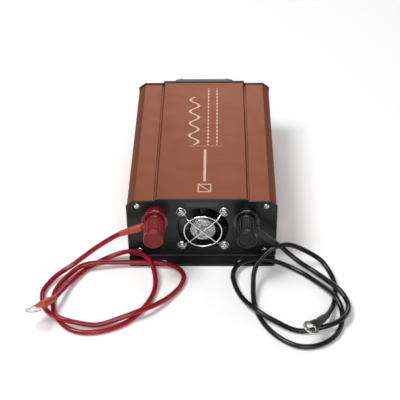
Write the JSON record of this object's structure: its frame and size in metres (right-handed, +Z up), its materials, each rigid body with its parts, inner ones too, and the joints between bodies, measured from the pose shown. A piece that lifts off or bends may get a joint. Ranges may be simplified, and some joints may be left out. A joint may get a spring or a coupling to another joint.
{
  "type": "power inverter",
  "caption": "Desktop DC to AC inverter: ribbed aluminium case with flanged end panels, guarded fan, screw posts with ring-lug leads, lidded socket, switch and USB.",
  "frame": {"origin": "on the standing surface, under the middle of the case with its posts and outlet lid, leads left out", "axes": "+X right when the battery posts are seen from the front, +Y from the posts to the AC outlet, +Z up"},
  "size_m": [0.2871, 0.3476, 0.0687],
  "materials": {
    "cover_anodised": "satin copper-brown anodised extrusion",
    "panel_black": "satin black powder coat",
    "screw_zinc": "bright zinc or nickel plate",
    "fan_black": "moulded black, satin",
    "hub_foil": "silver foil, a little crinkled",
    "guard_wire": "bright chromed wire",
    "red_base": "dark red moulding",
    "red_knob": "red moulding, worn dull",
    "black_base": "black moulding",
    "black_knob": "black moulding",
    "brass": "machined brass",
    "red_wire": "glossy red silicone or PVC jacket",
    "black_wire": "glossy black jacket",
    "tinned_lug": "tinned copper, pressed",
    "red_sleeve": "thin red heat-shrink",
    "black_sleeve": "thin black heat-shrink",
    "outlet_black": "moulded black, fine spark texture",
    "switch_black": "moulded black",
    "usb_metal": "stamped nickel-plated shell",
    "usb_insulator": "white moulding",
    "lamp_green": "clear green resin",
    "lamp_red": "clear red resin",
    "board_green": "solder mask on glass laminate",
    "ferrite": "sintered ferrite",
    "winding": "polyester tape over copper",
    "capacitor": "shrink sleeve over aluminium can",
    "copper_winding": "enamelled copper",
    "transistor": "moulded epoxy",
    "clamp_aluminium": "sawn aluminium",
    "fuse_plastic": "clear orange fuse body",
    "mains_wire": "brown PVC"
  },
  "bodies": {
    "case": {"upper_shell": "cover_anodised", "lower_shell": "cover_anodised", "front_panel": "panel_black", "rear_panel": "panel_black", "front_panel_screws": "screw_zinc", "rear_panel_screws": "screw_zinc", "fan_frame": "fan_black", "fan_guard": "guard_wire", "fan_screws": "guard_wire", "fan_nuts": "screw_zinc", "fan_lead": "red_wire", "red_post_base": "red_base", "red_post_stud": "brass", "red_post_nut": "brass", "black_post_base": "black_base", "black_post_stud": "brass", "black_post_nut": "brass", "red_cable": "red_wire", "red_post_lug": "tinned_lug", "red_post_sleeve": "red_sleeve", "red_battery_lug": "tinned_lug", "red_battery_sleeve": "red_sleeve", "black_cable": "black_wire", "black_post_lug": "tinned_lug", "black_post_sleeve": "black_sleeve", "black_battery_lug": "tinned_lug", "black_battery_sleeve": "black_sleeve", "outlet_housing": "outlet_black", "outlet_insert": "outlet_black", "outlet_contacts": "brass", "outlet_earth_clips": "brass", "outlet_lid_pin": "screw_zinc", "outlet_screws": "screw_zinc", "switch_bezel": "switch_black", "usb_shell": "usb_metal", "usb_tongue": "usb_insulator", "power_led": "lamp_green", "fault_led": "lamp_red", "earth_terminal": "screw_zinc", "main_board": "board_green", "transformer_core": "ferrite", "transformer_winding": "winding", "input_capacitors": "capacitor", "bus_capacitors": "capacitor", "output_inductor": "copper_winding", "power_transistors": "transistor", "clamp_bars": "clamp_aluminium", "control_board": "board_green", "blade_fuses": "fuse_plastic", "red_inner_lead": "red_wire", "black_inner_lead": "black_wire", "ac_leads": "mains_wire"},
    "fan": {"fan_rotor": "fan_black", "fan_hub_cap": "hub_foil"},
    "red_washer": {"red_post_washer": "screw_zinc"},
    "red_knob": {"red_post_knob": "red_knob"},
    "black_washer": {"black_post_washer": "screw_zinc"},
    "black_knob": {"black_post_knob": "black_knob"},
    "outlet_lid": {"outlet_lid": "outlet_black"},
    "rocker": {"switch_rocker": "switch_black"}
  },
  "joints": [
    {"name": "fan_spin", "type": "hinge", "parent": "case", "child": "fan", "pos_m": [0.001, -0.09, 0.035], "axis": [0, 1, 0], "continuous": true},
    {"name": "red_washer_slide", "type": "slide", "parent": "case", "child": "red_washer", "axis": [0, -1, 0], "range_m": [0, 0.005]},
    {"name": "red_knob_turn", "type": "hinge", "parent": "red_washer", "child": "red_knob", "pos_m": [-0.043, -0.12, 0.051], "axis": [0, -1, 0], "range_deg": [0, 1440]},
    {"name": "black_washer_slide", "type": "slide", "parent": "case", "child": "black_washer", "axis": [0, -1, 0], "range_m": [0, 0.005]},
    {"name": "black_knob_turn", "type": "hinge", "parent": "black_washer", "child": "black_knob", "pos_m": [0.041, -0.12, 0.051], "axis": [0, -1, 0], "range_deg": [0, 1440]},
    {"name": "outlet_lid_hinge", "type": "hinge", "parent": "case", "child": "outlet_lid", "pos_m": [0, 0.12965, 0.061], "axis": [1, 0, 0], "range_deg": [0, 110], "stiffness_Nm_per_rad": 0.01, "springref_deg": -34.38},
    {"name": "switch_rock", "type": "hinge", "parent": "case", "child": "rocker", "pos_m": [0.05025, 0.115, 0.042], "axis": [1, 0, 0], "range_deg": [0, 20]}
  ],
  "couplings": [
    {"joint": "red_knob_turn", "follows": "red_washer_slide", "rad_per_m": 5026.5},
    {"joint": "black_knob_turn", "follows": "black_washer_slide", "rad_per_m": 5026.5}
  ]
}
